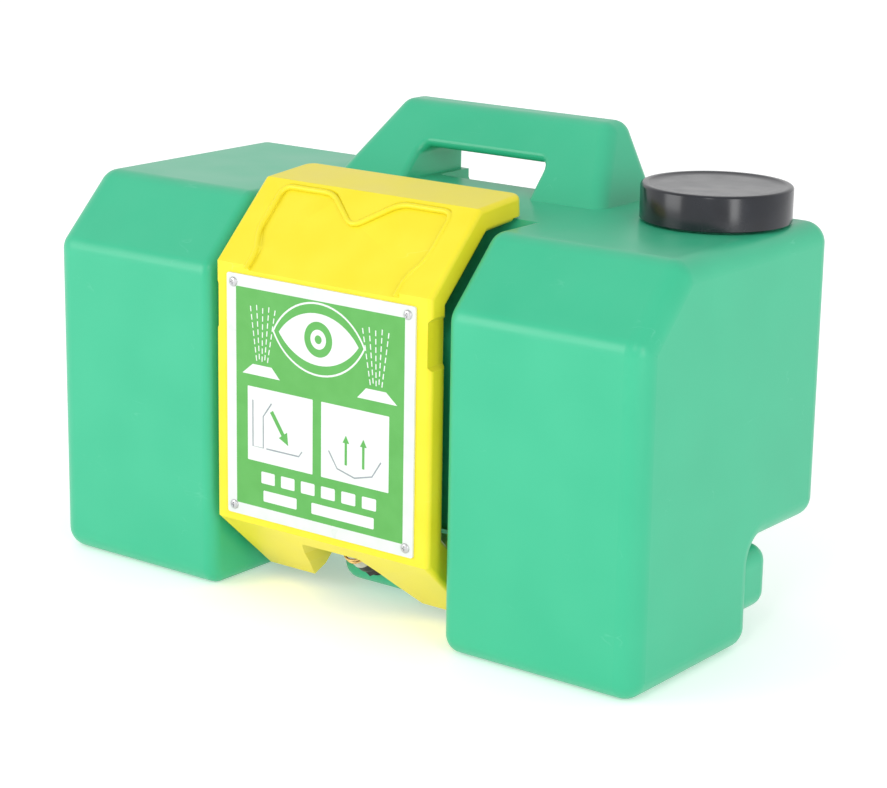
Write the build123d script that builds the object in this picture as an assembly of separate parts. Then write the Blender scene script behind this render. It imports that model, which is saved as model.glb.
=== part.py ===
from build123d import *
import os
from math import pi, sqrt

os.makedirs("parts", exist_ok=True)

# Portable gravity-fed eyewash station: a blow-moulded water tank with two lobes, and a yellow
# tray that folds up into the channel between them.  A hose runs from the sump under the tank,
# past the hinge and up the inside of the tray to two spray nozzles in a goggle-shaped pocket.
# X runs across the tank, Y from front to back and Z up.  While the pieces are made, Y is the
# depth behind the lobes' front faces; save() then moves each piece so that the origin is the
# centre of the base of the whole object.  Lengths are in millimetres.

# ---- Tank ----
TANK_HALF = 270
TANK_DEPTH = 246
TANK_TOP = 298
TANK_WALL = 3.5
TANK_EDGE = 16                  # moulded radius of the outside edges
FRONT_SLOPE = 50                # 45 degree slope along the top front edge
LOBE_DEPTH = 156                # the two lobes that reach down to the floor
NOTCH_TOP = 77                  # underside of the body behind and between the lobes
CHANNEL_HALF = 108.5            # the channel that the tray folds into
CHANNEL_BEND = (25, 226)        # where its 45 degree slope meets its front face
CHANNEL_FOOT = 33               # depth of that face at the bottom
CHANNEL_BEND_EDGE = 10
CHANNEL_EDGE = 10               # moulded radius of the lobes' edges along the channel
REAR_PAD = (205, 266, 22, 70)   # x and z limits of the pad moulded on the back of each lobe
REAR_PAD_DEPTH = 30
REAR_PAD_EDGE = 13

# ---- Recessed panel and finger scoop on the channel's slope ----
PANEL_HALF = 78
PANEL_FOOT = (33, 234)
PANEL_RECESS = 5
SCOOP_HALF = 89
SCOOP_RADIUS = 511
SCOOP_CENTRE = (-128, 745)
SCOOP_ROOM = (60, 166)          # depths between which the scoop is kept
SLOPE_REACH = 80                # long enough to run out of the tank along its slope
CLEARING = 10                   # how far cutting shapes stand out of what they cut

# ---- Carrying handle, moulded with the tank ----
HANDLE_BASE_HALF = 124
HANDLE_TOP_HALF = 97
HANDLE_FRONT_BASE = 163
HANDLE_FRONT_TOP = 214
HANDLE_BACK = 243
HANDLE_TOP = 353
HANDLE_EDGE = 13
GRIP_UNDERSIDE = 321
GRIP_GAP_HALF = 59
GRIP_GAP_EDGE = 7
GRIP_ROUNDING = 5               # of the grip's lower edges and the legs' inner edges
TROUGH_HALF = 54
TROUGH_FRONT = 204
TROUGH_FLOOR = 284
TROUGH_EDGE = 6

# ---- Filler neck and cap ----
NECK_X = 207
NECK_Y = 187
NECK_RADIUS = 47
NECK_BORE = 43
NECK_TOP = 317.5
CAP_RADIUS = 54.4
CAP_TOP = 325
CAP_SKIRT_FOOT = 299.5
CAP_WALL = 3.5
CAP_BORE = 50
LINER_RADIUS = 49.5
FACE_GAP = 0.1                  # between faces that press together when the cap is tight

# ---- Sump and outlet ----
SUMP_HALF = 36
SUMP_FRONT = 62
SUMP_BACK = 120
SUMP_BOTTOM = 8
SUMP_EDGE = 14
OUTLET_Z = 32
INSERT_RADIUS = 11
INSERT_LENGTH = 12
SHANK_RADIUS = 8
GASKET_THICK = 1.5
GASKET_RADIUS = 13
HEX_FLATS = 22
HEX_THICK = 5
ELBOW_Y = 52                    # where the outlet turns 45 degrees up
SHOULDER_LENGTH = 6
BARB_LENGTH = 25
BARB_RADIUS = 6
OUTLET_BORE = 4.5

# ---- Hose ----
HOSE_RADIUS = 9
HOSE_BORE = 6
HOSE_Y = 13.5                   # depth of its straight run up the tray
HOSE_TOP = 213
HOSE_BEND = 70                  # centreline radius of its one bend
CLAMP_WIRE = 0.9
CLAMP_SPREAD = 3.2              # between the two turns of wire
CLAMP_TAB = (5, 4.5)

# ---- Hinge ----
HINGE_Y = 42
HINGE_Z = 50
PIN_RADIUS = 4
PIN_CLEARANCE = 0.08
PIN_INNER = 81
PIN_OUTER = 122
PIN_BOSS_RADIUS = 10
PIN_BOSS_END = 126
WASHER_RADIUS = 10
WASHER_GAP = 0.3

# ---- Tray ----
TRAY_HALF = 99.5
TRAY_THICK = 18
TRAY_FRONT = -4
TRAY_OUTLINE = [(53, 10.5), (TRAY_FRONT, 62), (TRAY_FRONT, 257), (51.5, 311.5), (103, 316)]
TRAY_EDGE = 4
LIP_CORNER = 10
LIP_REST = (90, 299.8)          # the lip is thinner from here back, to clear the tank's top
EAR_INNER = 44
EAR_BACK = 60
EAR_OUTLINE = [
    (53, 10.5), (TRAY_FRONT, 62), (TRAY_FRONT, 80), (14, 80), (22, 72), (50, 70), (EAR_BACK, 58), (EAR_BACK, 22)
]
FOOT_NOTCH = [(27, 51), (36, 38), (41, 28), (52, 10), (54, -5)]
WINDOW = [(43, 68), (71, 107), (71, 134), (58, 161), (58, 213)]
WINDOW_CORNER = 5
HOSE_GROOVE_HALF = 13
GROOVE_WALL = 4
DETENT_LOW = 208
DETENT_HIGH = 240
DETENT_DEPTH = 3
DETENT_RAMP = 4
RAIL_WALL = 3
RAIL_INNER = 80
RAIL_OUTER = 91
RAIL_LOW = 82
RAIL_BACK = 97

# ---- Goggle-shaped pocket inside the tray, and its relief outside ----
POCKET_FOOT = 223
POCKET_TOP = 297
POCKET_NECK_HALF = 54
POCKET_HALF = 73
POCKET_SHOULDER = (236, 246)
POCKET_FLOOR = 29
POCKET_FLOOR_FOOT = 236         # the floor's lower edge, above the wall that slopes up to it
POCKET_DRAFT = 18
POCKET_SLOPE_START = 279.3
POCKET_SLOPE_RUN = 19           # how far back the pocket's 45 degree slope goes
POCKET_BLOCK_ROOT = 3           # how far the pocket's block runs into the tray's panel
POCKET_BLOCK_TOP = [(POCKET_FLOOR, 281), (8, 262), (0, 250)]
POCKET_CORNER = 5
NOSE_POCKET = (40, 25)          # half width and height of the hump for the bridge of the nose
NOSE_SHOULDER = 14
NOSE_TIP = 5
CAVITY_MARGIN = 9.5
CAVITY_OUTLINE = [(-0.5, 227), (11, 227), (25.5, 238.5), (25.5, 276), (21.3, 276), (-0.5, 251)]
RELIEF_DEPTH = 2.6              # its face lies this far below the tray's slope
RELIEF_FOOT = 248
RELIEF_TOP = 306.5
RELIEF_HALF = 76
RELIEF_NECK_HALF = 67
RELIEF_SHOULDER = (268, 278)
NOSE_RELIEF = (30, 18)
RELIEF_DRAFT = 35               # slope of the relief's walls
RELIEF_REACH = 5

# ---- Nozzles and manifold ----
NOZZLE_X = 47
NOZZLE_Z = 262
NOZZLE_CAP_RADIUS = 17
NOZZLE_CAP_PROUD = 1.2
NOZZLE_SEAT = 1.5
NOZZLE_SEAT_CLEARANCE = 0.15
NOZZLE_HOLE = 12
NOZZLE_CUP_RADIUS = 13.5
NOZZLE_CUP_BORE = 11
NOZZLE_CUP_BACK = 21.3
NOZZLE_CUP_FRONT = 24.3
NOZZLE_CUP_WALL = 1.5
NOZZLE_JET = 1.2
SOCKET_RADIUS = 7.9
SOCKET_END = 52
SOCKET_START = 38
NECK_TUBE_RADIUS = 5.5
MANIFOLD_Z = 254
MANIFOLD_RADIUS = 6.4
MANIFOLD_BORE = 4.4
MANIFOLD_HALF = 45
STEM_FOOT = 199
STEM_HOLE = 7

# ---- Sign plate and its screws ----
SIGN_HALF = 87
SIGN_FOOT = 68
SIGN_TOP = 250
SIGN_THICK = 1.5
SIGN_CORNER = 2
SCREW_INSET = 6.5
SCREW_RADIUS = 1.5
SCREW_LENGTH = 7
SCREW_HEAD_RADIUS = 3.6
SCREW_HEAD = 1.5

SIGN_FRONT = TRAY_FRONT - SIGN_THICK
OBJECT_FRONT = SIGN_FRONT - SCREW_HEAD
OBJECT_MIDDLE = (OBJECT_FRONT + TANK_DEPTH) / 2
SIDES = {"left": -1, "right": 1}


def save(shape, node):
    """Writes one piece, moved to the frame whose origin is the centre of the base."""
    export_step(Pos(0, -OBJECT_MIDDLE, 0) * shape, f"parts/{node}.step")


def side_prism(points, half_width, grow=0.0):
    """Prism across the tank, from an outline of (depth, height) points."""
    outline = Polygon(*points, align=None)
    if grow:
        outline = offset(outline, amount=grow, kind=Kind.INTERSECTION)
    return extrude(Plane.YZ * outline, amount=half_width, both=True)


def front_prism(outline, start, end):
    """Prism from a sketch in (x, height), running from one depth to another."""
    plane = Plane(origin=(0, start, 0), x_dir=(1, 0, 0), z_dir=(0, -1, 0))
    return extrude(plane * outline, amount=end - start, dir=(0, 1, 0))


def mirrored(points):
    """Closed outline from its right-hand half, listed from bottom to top."""
    return list(points) + [(-x, z) for x, z in reversed(points)]


def box_between(low, high):
    size = [b - a for a, b in zip(low, high)]
    centre = [(a + b) / 2 for a, b in zip(low, high)]
    return Pos(*centre) * Box(*size)


def rod(start, end, radius):
    """Cylinder from one point to another."""
    axis = Vector(*end) - Vector(*start)
    return extrude(Plane(origin=start, z_dir=axis) * Circle(radius), amount=axis.length)


def both_sides(shape):
    return shape + mirror(shape, about=Plane.YZ)


# ---- Tank ----

def tank_blocks(inset):
    """Two rounded lobes and the block between them, with every face moved in by inset."""
    lobe_side = [
        (0, 0), (0, TANK_TOP - FRONT_SLOPE), (FRONT_SLOPE, TANK_TOP), (TANK_DEPTH, TANK_TOP),
        (TANK_DEPTH, NOTCH_TOP), (LOBE_DEPTH, NOTCH_TOP), (LOBE_DEPTH, 0),
    ]
    outline = offset(Polygon(*lobe_side, align=None), amount=-inset, kind=Kind.INTERSECTION)
    plane = Plane(origin=(CHANNEL_HALF + inset, 0, 0), x_dir=(0, 1, 0), z_dir=(1, 0, 0))
    lobe = extrude(plane * outline, amount=TANK_HALF - CHANNEL_HALF - 2 * inset, dir=(1, 0, 0))
    edge = TANK_EDGE - inset
    inner_face = CHANNEL_HALF + inset + 0.01
    lobe = fillet([e for e in lobe.edges() if e.center().X > inner_face], edge)
    lobe = fillet([e for e in lobe.edges() if e.center().X < inner_face], CHANNEL_EDGE - inset)
    bend_y, bend_z = CHANNEL_BEND
    middle_side = [
        (CHANNEL_FOOT, NOTCH_TOP), CHANNEL_BEND, (bend_y + TANK_TOP - bend_z, TANK_TOP),
        (TANK_DEPTH, TANK_TOP), (TANK_DEPTH, NOTCH_TOP),
    ]
    middle = side_prism(middle_side, CHANNEL_HALF + CHANNEL_EDGE + 1, -inset)
    across = middle.edges().filter_by(Axis.X).sort_by(Axis.Y)
    middle = fillet(across[-2:], edge)
    across = middle.edges().filter_by(Axis.X).sort_by(Axis.Y)
    middle = fillet(across[:2], CHANNEL_BEND_EDGE - inset)
    return both_sides(lobe) + middle


def sump(inset):
    top = NOTCH_TOP + TANK_EDGE
    block = box_between(
        (-SUMP_HALF + inset, SUMP_FRONT + inset, SUMP_BOTTOM + inset),
        (SUMP_HALF - inset, SUMP_BACK - inset, top),
    )
    upright = block.edges().filter_by(Axis.Z)
    lower = block.faces().sort_by(Axis.Z)[0].edges()
    return fillet(upright + lower, SUMP_EDGE - inset)


def rear_pads(inset):
    x_low, x_high, z_low, z_high = REAR_PAD
    block = box_between(
        (x_low + inset, LOBE_DEPTH - TANK_EDGE, z_low + inset),
        (x_high - inset, LOBE_DEPTH + REAR_PAD_DEPTH - inset, z_high - inset),
    )
    along = block.edges().filter_by(Axis.Y)
    back = block.faces().sort_by(Axis.Y)[-1].edges()
    return both_sides(fillet(along + back, REAR_PAD_EDGE - inset))


def handle(inset):
    """The bridge-shaped handle, with its hand gap."""
    root = TANK_TOP - TANK_EDGE
    slope = (HANDLE_FRONT_TOP - HANDLE_FRONT_BASE) / (HANDLE_TOP - TANK_TOP)
    side = [
        (HANDLE_FRONT_BASE - slope * TANK_EDGE, root), (HANDLE_FRONT_TOP, HANDLE_TOP),
        (HANDLE_BACK, HANDLE_TOP), (HANDLE_BACK, root),
    ]
    spread = (HANDLE_BASE_HALF - HANDLE_TOP_HALF) / (HANDLE_TOP - TANK_TOP)
    base_half = HANDLE_BASE_HALF + spread * TANK_EDGE
    front = Polygon(*mirrored([(base_half, root), (HANDLE_TOP_HALF, HANDLE_TOP)]), align=None)
    if inset:
        front = offset(front, amount=-inset, kind=Kind.INTERSECTION)
    body = side_prism(side, TANK_HALF, -inset) & front_prism(front, 0, TANK_DEPTH + 1)
    rounded = [e for e in body.edges() if e.center().Z > root + inset + 1]
    body = fillet(rounded, HANDLE_EDGE - inset) - hand_gap(inset)
    if inset:
        return body

    def around_gap(edge):
        middle = edge.center()
        crosses = abs(edge.tangent_at(0.5).Y) > 0.9
        inside = abs(middle.X) < GRIP_GAP_HALF + 1 and TANK_TOP + 1 < middle.Z < GRIP_UNDERSIDE + 1
        return inside and not crosses

    return fillet([e for e in body.edges() if around_gap(e)], GRIP_ROUNDING)


def hand_gap(grow):
    """The gap under the grip, and the trough in the tank's top that makes room for fingers."""
    gap = box_between(
        (-GRIP_GAP_HALF - grow, 0, TANK_TOP - grow),
        (GRIP_GAP_HALF + grow, 2 * TANK_DEPTH, GRIP_UNDERSIDE + grow),
    )
    upper = [e for e in gap.edges().filter_by(Axis.Y) if e.center().Z > TANK_TOP + 1]
    gap = fillet(upper, GRIP_GAP_EDGE)
    trough = box_between(
        (-TROUGH_HALF - grow, TROUGH_FRONT - grow, TROUGH_FLOOR - grow),
        (TROUGH_HALF + grow, 2 * TANK_DEPTH, TANK_TOP + 1),
    )
    floor_edges = trough.faces().sort_by(Axis.Z)[0].edges().sort_by(Axis.Y)[:-1]
    corners = trough.edges().filter_by(Axis.Z).sort_by(Axis.Y)[:2]
    return gap + fillet(floor_edges + corners, TROUGH_EDGE)


def panel_and_scoop(grow):
    """Recess in the channel's slope, and the lens-shaped scoop across its top edge."""
    foot_y, foot_z = PANEL_FOOT
    sink = PANEL_RECESS / sqrt(2) + grow * sqrt(2)
    deep_y, deep_z = foot_y + sink, foot_z - sink - grow
    out_y, out_z = foot_y - CLEARING, foot_z + CLEARING
    side = [
        (foot_y - grow, foot_z - grow), (deep_y, deep_z), (deep_y + SLOPE_REACH, deep_z + SLOPE_REACH),
        (out_y + SLOPE_REACH, out_z + SLOPE_REACH), (out_y, out_z),
    ]
    panel = side_prism(side, PANEL_HALF + grow)
    scoop = Pos(0, *SCOOP_CENTRE) * Sphere(SCOOP_RADIUS + grow)
    room_front, room_back = SCOOP_ROOM
    room = box_between(
        (-SCOOP_HALF - grow, room_front, TANK_TOP - room_front),
        (SCOOP_HALF + grow, room_back, TANK_TOP + CLEARING),
    )
    return panel + (scoop & room)


def tank_form(inset):
    """The whole moulding with its faces moved in by inset: 0 outside, the wall inside."""
    form = tank_blocks(inset) + sump(inset) + rear_pads(inset) + handle(inset)
    return form - hand_gap(inset) - panel_and_scoop(inset)


def make_tank():
    neck_base = TANK_TOP - TANK_WALL
    cavity = tank_form(TANK_WALL)
    shell = tank_form(0) - cavity
    for side in SIDES.values():
        start = (side * (CHANNEL_HALF + 1), HINGE_Y, HINGE_Z)
        shell += rod(start, (side * PIN_BOSS_END, HINGE_Y, HINGE_Z), PIN_BOSS_RADIUS)
        shell -= rod((0, HINGE_Y, HINGE_Z), (side * PIN_OUTER, HINGE_Y, HINGE_Z), PIN_RADIUS)
    shell += rod((NECK_X, NECK_Y, neck_base), (NECK_X, NECK_Y, NECK_TOP), NECK_RADIUS)
    shell -= rod((NECK_X, NECK_Y, neck_base - 5), (NECK_X, NECK_Y, NECK_TOP), NECK_BORE)
    insert_end = (0, SUMP_FRONT + INSERT_LENGTH, OUTLET_Z)
    shell += rod((0, SUMP_FRONT + 1, OUTLET_Z), insert_end, INSERT_RADIUS + TANK_WALL)
    return shell - rod((0, SUMP_FRONT, OUTLET_Z), insert_end, INSERT_RADIUS)


# ---- Cap ----

def make_cap():
    cap = rod((NECK_X, NECK_Y, CAP_SKIRT_FOOT), (NECK_X, NECK_Y, CAP_TOP), CAP_RADIUS)
    top_edge = cap.edges().sort_by(Axis.Z)[-1]
    cap = chamfer(top_edge, 1)
    bore_top = CAP_TOP - CAP_WALL
    return cap - rod((NECK_X, NECK_Y, CAP_SKIRT_FOOT), (NECK_X, NECK_Y, bore_top), CAP_BORE)


def make_cap_liner():
    top = CAP_TOP - CAP_WALL - FACE_GAP
    return rod((NECK_X, NECK_Y, NECK_TOP + FACE_GAP), (NECK_X, NECK_Y, top), LINER_RADIUS)


# ---- Outlet ----

def make_outlet_insert():
    """Threaded bush moulded into the front wall of the sump."""
    start = (0, SUMP_FRONT, OUTLET_Z)
    end = (0, SUMP_FRONT + INSERT_LENGTH, OUTLET_Z)
    return rod(start, end, INSERT_RADIUS) - rod(start, end, SHANK_RADIUS)


def make_outlet_gasket():
    face = (0, SUMP_FRONT - GASKET_THICK, OUTLET_Z)
    wall = (0, SUMP_FRONT, OUTLET_Z)
    return rod(face, wall, GASKET_RADIUS) - rod(face, wall, SHANK_RADIUS)


def along_outlet(distance):
    """Point on the outlet's rising arm."""
    step = distance / sqrt(2)
    return (0, ELBOW_Y - step, OUTLET_Z + step)


def make_outlet_elbow():
    corner = (0, ELBOW_Y, OUTLET_Z)
    face = SUMP_FRONT - GASKET_THICK
    hex_plane = Plane(origin=(0, face - HEX_THICK, OUTLET_Z), z_dir=(0, 1, 0))
    hexagon = hex_plane * RegularPolygon(HEX_FLATS / 2, 6, major_radius=False)
    elbow = extrude(hexagon, amount=HEX_THICK, dir=(0, 1, 0))
    elbow += rod(corner, (0, face + INSERT_LENGTH, OUTLET_Z), SHANK_RADIUS)
    elbow += Pos(*corner) * Sphere(SHANK_RADIUS)
    elbow += rod(corner, along_outlet(SHOULDER_LENGTH), SHANK_RADIUS)
    elbow += rod(corner, along_outlet(BARB_LENGTH), BARB_RADIUS)
    elbow -= rod(corner, (0, face + INSERT_LENGTH, OUTLET_Z), OUTLET_BORE)
    elbow -= Pos(*corner) * Sphere(OUTLET_BORE)
    return elbow - rod(corner, along_outlet(BARB_LENGTH), OUTLET_BORE)


# ---- Hose and its clamps ----

def hose_path():
    rise = ELBOW_Y - HOSE_Y
    corner = (0, HOSE_Y, OUTLET_Z + rise)
    return FilletPolyline(along_outlet(SHOULDER_LENGTH), corner, (0, HOSE_Y, HOSE_TOP), radius=HOSE_BEND)


def make_hose():
    path = hose_path()
    ring = Circle(HOSE_RADIUS) - Circle(HOSE_BORE)
    hose = sweep(Plane(origin=path @ 0, z_dir=path % 0) * ring, path=path)
    section = pi * (HOSE_RADIUS ** 2 - HOSE_BORE ** 2)
    print("hose length", round(path.length, 1), "volume over section x length",
          round(hose.volume / (section * path.length), 4))
    return hose


def make_clamp(place):
    """Spring clamp of two turns of wire, its ends bent up into a square tab."""
    wire = CLAMP_WIRE
    turn = HOSE_RADIUS + wire
    reach, height = CLAMP_TAB
    ring = Torus(turn, wire)
    clamp = Pos(0, 0, CLAMP_SPREAD / 2) * ring + Pos(0, 0, -CLAMP_SPREAD / 2) * ring
    for side in (-1, 1):
        clamp += rod((turn, 0, side * height / 2), (turn + reach, 0, side * height / 2), wire)
    clamp += rod((turn + reach, 0, -height / 2), (turn + reach, 0, height / 2), wire)
    clamp += rod((turn, 0, -height / 2), (turn, 0, height / 2), wire)
    for side in (-1, 1):
        clamp += Pos(turn + reach, 0, side * height / 2) * Sphere(wire)
    return place * clamp


# ---- Hinge ----

def make_pin(side):
    return rod((side * PIN_INNER, HINGE_Y, HINGE_Z), (side * PIN_OUTER, HINGE_Y, HINGE_Z), PIN_RADIUS)


def make_washer(side):
    start = (side * (TRAY_HALF + WASHER_GAP), HINGE_Y, HINGE_Z)
    end = (side * (CHANNEL_HALF - WASHER_GAP / 2), HINGE_Y, HINGE_Z)
    return rod(start, end, WASHER_RADIUS) - rod(start, end, PIN_RADIUS)


# ---- Tray ----

def tray_panel(thickness, half_width):
    """Bent panel that follows the tray's outside, of one thickness."""
    outer = Polyline(*TRAY_OUTLINE)
    section = offset(outer, amount=thickness, side=Side.RIGHT, kind=Kind.INTERSECTION, closed=True)
    return extrude(Plane.YZ * make_face(section), amount=half_width, both=True)


def goggle_points(neck_half, half, foot, shoulder, top):
    """Corners of a pair of goggles: a narrower neck, two shoulders and a straight top."""
    low, high = shoulder
    return mirrored([(neck_half, foot), (neck_half, low), (half, high), (half, top)])


def with_nose(points, top, nose):
    """Goggles with rounded corners and a rounded V that hangs down from the middle of the top.

    Points are listed as goggle_points gives them; nose is the V's half width and its height.
    """
    nose_half, nose_height = nose
    middle = len(points) // 2
    hump = [(nose_half, top), (0, top - nose_height), (-nose_half, top)]
    outline = Polygon(*points[:middle], *hump, *points[middle:], align=None)
    near_nose = [v for v in outline.vertices() if abs(v.X) < nose_half + 1 and v.Y > top - 1]
    outline = fillet(near_nose, NOSE_SHOULDER)
    tip = [v for v in outline.vertices() if abs(v.X) < 1]
    outline = fillet(tip, NOSE_TIP)
    corners = [v for v in outline.vertices() if any(v.distance_to(Vertex(x, z)) < 0.01 for x, z in points)]
    return fillet(corners, POCKET_CORNER)


POCKET_POINTS = goggle_points(POCKET_NECK_HALF, POCKET_HALF, POCKET_FOOT, POCKET_SHOULDER, POCKET_TOP)
RELIEF_POINTS = goggle_points(RELIEF_NECK_HALF, RELIEF_HALF, RELIEF_FOOT, RELIEF_SHOULDER, RELIEF_TOP)


def tray_blank():
    """Double-walled panel with its two ears and rounded edges, before anything is cut in it."""
    panel = tray_panel(TRAY_THICK, TRAY_HALF)
    lip_ends = [e for e in panel.edges() if e.center().Y > 100 and abs(e.center().X) > TRAY_HALF - 1]
    panel = fillet(lip_ends, LIP_CORNER)
    middle = box_between((-EAR_INNER, OBJECT_FRONT, 0), (EAR_INNER, TANK_DEPTH, TANK_TOP))
    blank = panel + (side_prism(EAR_OUTLINE, TRAY_HALF) - middle)
    blank -= box_between((-TANK_HALF, EAR_BACK, 0), (TANK_HALF, TANK_DEPTH, NOTCH_TOP))
    side_edges = [e for e in blank.edges() if abs(e.center().X) > TRAY_HALF - 0.01]
    return fillet(side_edges, TRAY_EDGE)


def pocket_floor_block():
    """Raised goggle-shaped block with tapered walls that carries the floor of the pocket."""
    inner_face = TRAY_FRONT + TRAY_THICK
    base = inner_face - POCKET_BLOCK_ROOT
    plane = Plane(origin=(0, base, 0), x_dir=(-1, 0, 0), z_dir=(0, 1, 0))
    outline = Polygon(*POCKET_POINTS, align=None)
    rounded = fillet(outline.vertices(), POCKET_CORNER)
    block = extrude(plane * rounded, amount=POCKET_FLOOR - base, taper=POCKET_DRAFT)
    keep = [(0, POCKET_FOOT), (inner_face, POCKET_FOOT), (POCKET_FLOOR, POCKET_FLOOR_FOOT)]
    return block & side_prism(keep + POCKET_BLOCK_TOP, TRAY_HALF)


def pocket_recess():
    """Space above the pocket's floor, cut into the tray's slope."""
    slope_top = POCKET_SLOPE_START + POCKET_SLOPE_RUN
    side = [
        (POCKET_FLOOR, POCKET_FOOT), (POCKET_FLOOR, POCKET_SLOPE_START),
        (POCKET_FLOOR + POCKET_SLOPE_RUN, slope_top), (LOBE_DEPTH, slope_top), (LOBE_DEPTH, POCKET_FOOT),
    ]
    outline = with_nose(POCKET_POINTS, POCKET_TOP, NOSE_POCKET)
    return side_prism(side, TRAY_HALF) & front_prism(outline, 0, TANK_DEPTH)


def inner_cavity():
    """Room between the tray's two walls for the manifold and the nozzle bodies."""
    outline = offset(Polygon(*POCKET_POINTS, align=None), amount=-CAVITY_MARGIN, kind=Kind.INTERSECTION)
    return side_prism(CAVITY_OUTLINE, TRAY_HALF) & front_prism(outline, TRAY_FRONT, POCKET_FLOOR)


def tray_relief():
    """What is cut away above the face of the relief, which is sunk into the tray's outer slope."""
    slope_foot = Vector(0, *TRAY_OUTLINE[2])
    rise = (Vector(0, *TRAY_OUTLINE[3]) - slope_foot).normalized()
    outward = Vector(1, 0, 0).cross(rise)
    origin = slope_foot - outward * RELIEF_DEPTH
    face = Plane(origin=origin, x_dir=(1, 0, 0), z_dir=outward)
    on_face = [(x, (z - origin.Z) / rise.Z) for x, z in RELIEF_POINTS]
    nose_half, nose_height = NOSE_RELIEF
    outline = with_nose(on_face, (RELIEF_TOP - origin.Z) / rise.Z, (nose_half, nose_height / rise.Z))
    return extrude(face * outline, amount=RELIEF_REACH, taper=-RELIEF_DRAFT)


def rail_voids():
    """Hollow inside the double wall of the two side rails."""
    hollow = tray_panel(TRAY_THICK - RAIL_WALL, TRAY_HALF) - tray_panel(RAIL_WALL, TRAY_HALF)
    rail = box_between((RAIL_INNER, OBJECT_FRONT, RAIL_LOW), (RAIL_OUTER, RAIL_BACK, HANDLE_TOP))
    return hollow & both_sides(rail)


def sign_corners():
    for side in SIDES.values():
        for height in (SIGN_FOOT + SCREW_INSET, SIGN_TOP - SCREW_INSET):
            yield (side * (SIGN_HALF - SCREW_INSET), height)


def make_tray():
    tray = tray_blank() + pocket_floor_block()
    tray -= pocket_recess()
    tray -= inner_cavity()
    tray -= tray_relief()
    rest_y, rest_z = LIP_REST
    tray -= box_between((-TANK_HALF, rest_y, rest_z - 20), (TANK_HALF, TANK_DEPTH, rest_z))
    notch = Polygon(*mirrored(FOOT_NOTCH), align=None)
    notch = fillet(notch.vertices().sort_by(Axis.Y)[-2:], WINDOW_CORNER)
    tray -= front_prism(notch, OBJECT_FRONT, LOBE_DEPTH)
    window = Polygon(*mirrored(WINDOW), align=None)
    window = fillet(window.vertices(), WINDOW_CORNER)
    tray -= front_prism(window, OBJECT_FRONT, LOBE_DEPTH)
    groove_top = WINDOW[0][1] + WINDOW_CORNER
    groove_room = box_between((-HOSE_GROOVE_HALF, OBJECT_FRONT, 0), (HOSE_GROOVE_HALF, LOBE_DEPTH, groove_top))
    tray -= (tray_panel(TRAY_THICK + 1, TRAY_HALF) - tray_panel(GROOVE_WALL, TRAY_HALF)) & groove_room
    detent = Polygon(
        (TRAY_HALF + 1, DETENT_LOW - DETENT_RAMP), (TRAY_HALF - DETENT_DEPTH, DETENT_LOW),
        (TRAY_HALF - DETENT_DEPTH, DETENT_HIGH), (TRAY_HALF + 1, DETENT_HIGH + DETENT_RAMP), align=None,
    )
    tray -= both_sides(front_prism(detent, OBJECT_FRONT, LOBE_DEPTH))
    tray -= rail_voids()
    for side in SIDES.values():
        x = side * NOZZLE_X
        tray -= rod((x, NOZZLE_CUP_FRONT - 1, NOZZLE_Z), (x, POCKET_FLOOR + 1, NOZZLE_Z), NOZZLE_HOLE)
        seat = (x, POCKET_FLOOR - NOZZLE_SEAT, NOZZLE_Z)
        tray -= rod(seat, (x, POCKET_FLOOR + 1, NOZZLE_Z), NOZZLE_CAP_RADIUS + NOZZLE_SEAT_CLEARANCE)
        bore_end = (side * (PIN_INNER - 1), HINGE_Y, HINGE_Z)
        tray -= rod((side * (TRAY_HALF + 1), HINGE_Y, HINGE_Z), bore_end, PIN_RADIUS + PIN_CLEARANCE)
    tray -= rod((0, HOSE_Y, WINDOW[-1][1]), (0, HOSE_Y, POCKET_SHOULDER[0]), STEM_HOLE)
    for x, z in sign_corners():
        tray -= rod((x, SIGN_FRONT, z), (x, SIGN_FRONT + SCREW_LENGTH, z), SCREW_RADIUS)
    return tray


# ---- Manifold and nozzles ----

def make_manifold():
    """Cross tube with a stem that the hose pushes on to."""
    cross_start = (-MANIFOLD_HALF, HOSE_Y, MANIFOLD_Z)
    cross_end = (MANIFOLD_HALF, HOSE_Y, MANIFOLD_Z)
    stem_start = (0, HOSE_Y, STEM_FOOT)
    stem_end = (0, HOSE_Y, MANIFOLD_Z)
    tube = rod(cross_start, cross_end, MANIFOLD_RADIUS) + rod(stem_start, stem_end, BARB_RADIUS)
    tube -= rod(cross_start, cross_end, MANIFOLD_BORE)
    return tube - rod(stem_start, stem_end, MANIFOLD_BORE)


def make_nozzle_body(side):
    """Shallow water cup behind the nozzle's hole, with a socket for the end of the manifold."""
    cup_back = (NOZZLE_X, NOZZLE_CUP_BACK, NOZZLE_Z)
    cup_front = (NOZZLE_X, NOZZLE_CUP_FRONT, NOZZLE_Z)
    junction = (NOZZLE_X, HOSE_Y, MANIFOLD_Z)
    neck_end = (NOZZLE_X, NOZZLE_CUP_BACK + NOZZLE_CUP_WALL, MANIFOLD_Z)
    socket_start = (SOCKET_START, HOSE_Y, MANIFOLD_Z)
    body = rod(cup_back, cup_front, NOZZLE_CUP_RADIUS)
    body += rod(socket_start, (SOCKET_END, HOSE_Y, MANIFOLD_Z), SOCKET_RADIUS)
    body += rod(junction, neck_end, NECK_TUBE_RADIUS)
    body -= rod(socket_start, (MANIFOLD_HALF, HOSE_Y, MANIFOLD_Z), MANIFOLD_RADIUS)
    body -= rod(socket_start, junction, MANIFOLD_BORE)
    body -= rod((NOZZLE_X, NOZZLE_CUP_BACK + NOZZLE_CUP_WALL, NOZZLE_Z), cup_front, NOZZLE_CUP_BORE)
    body -= rod(junction, neck_end, MANIFOLD_BORE - 1)
    return body if side > 0 else mirror(body, about=Plane.YZ)


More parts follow.
